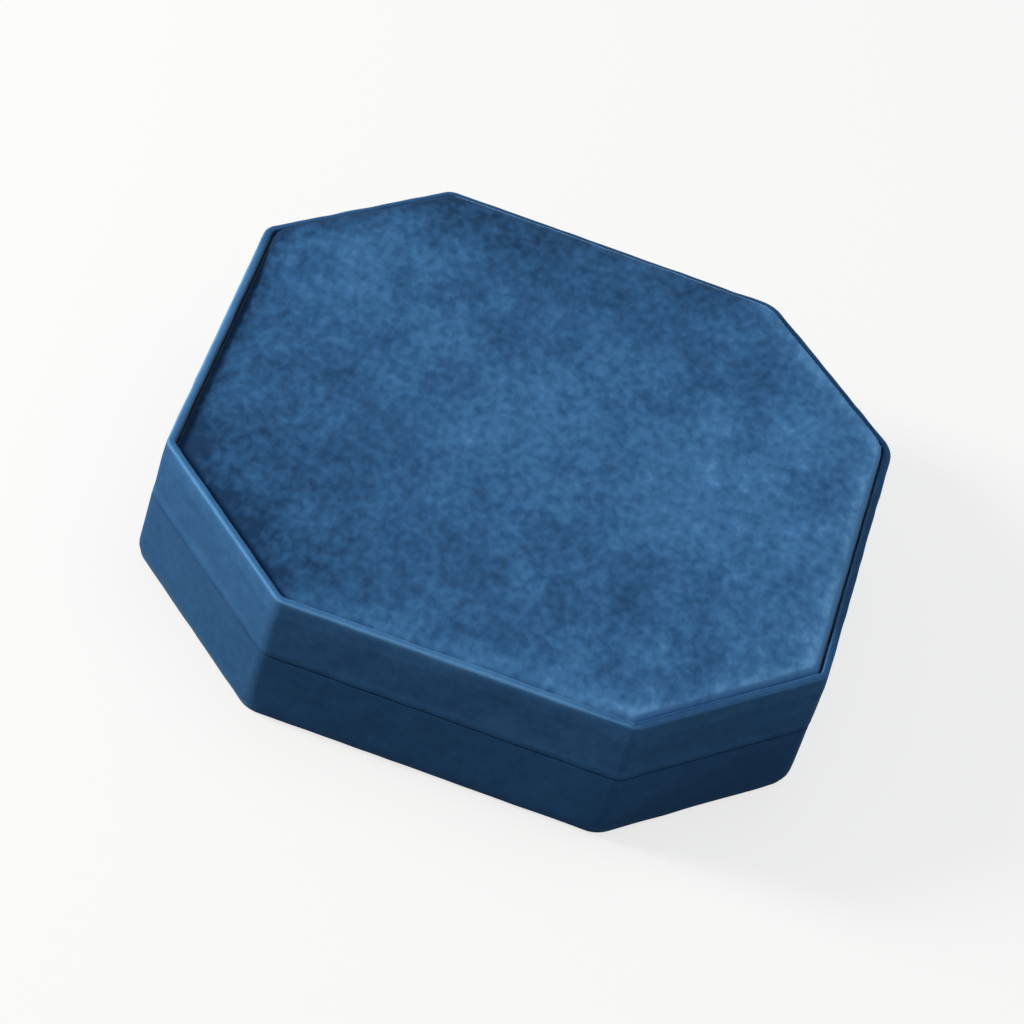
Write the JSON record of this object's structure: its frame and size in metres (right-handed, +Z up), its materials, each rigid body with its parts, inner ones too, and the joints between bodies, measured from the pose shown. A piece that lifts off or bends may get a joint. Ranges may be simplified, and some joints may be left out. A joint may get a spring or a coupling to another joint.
{
  "type": "ring box",
  "caption": "Flat octagonal velvet-covered ring box with a padded lid panel, a hinged lid and padded rolls that hold rings upright.",
  "frame": {"origin": "centre of the underside, which stands on the table", "axes": "+X along the front side, +Y from front to back (the hinge side), +Z up"},
  "size_m": [0.135, 0.1363, 0.0305],
  "materials": {
    "outer_velvet": "short-pile velvet",
    "inner_velvet": "short-pile velvet",
    "lining_satin": "brushed suede cloth over foam",
    "underside_cover": "flocked paper",
    "moulded_shell": "moulded, hidden under velvet",
    "card": "greyboard",
    "foam": "open-cell foam",
    "hinge_steel": "nickel-plated sheet"
  },
  "bodies": {
    "base": {"base_shell": "moulded_shell", "base_velvet": "outer_velvet", "base_bottom_cover": "underside_cover", "base_collar": "inner_velvet", "ring_tray_board": "card", "ring_tray_foam": "foam", "ring_tray_velvet": "inner_velvet", "ring_roll_1": "inner_velvet", "ring_roll_2": "inner_velvet", "ring_roll_3": "inner_velvet", "ring_roll_4": "inner_velvet", "ring_roll_5": "inner_velvet", "ring_roll_6": "inner_velvet", "ring_roll_7": "inner_velvet", "hinge_base_leaf": "hinge_steel", "hinge_base_rivets": "hinge_steel", "hinge_pin": "hinge_steel"},
    "lid": {"lid_shell": "moulded_shell", "lid_velvet": "outer_velvet", "lid_panel_board": "card", "lid_panel_foam": "foam", "lid_panel_velvet": "outer_velvet", "lid_wall_liner": "inner_velvet", "lid_lining_board": "card", "lid_lining_pad": "lining_satin", "hinge_lid_leaf": "hinge_steel", "hinge_lid_rivets": "hinge_steel"}
  },
  "joints": [
    {"name": "lid_hinge", "type": "hinge", "parent": "base", "child": "lid", "pos_m": [0, 0.0675, 0.0159], "axis": [-1, 0, 0], "range_deg": [0, 100]}
  ]
}
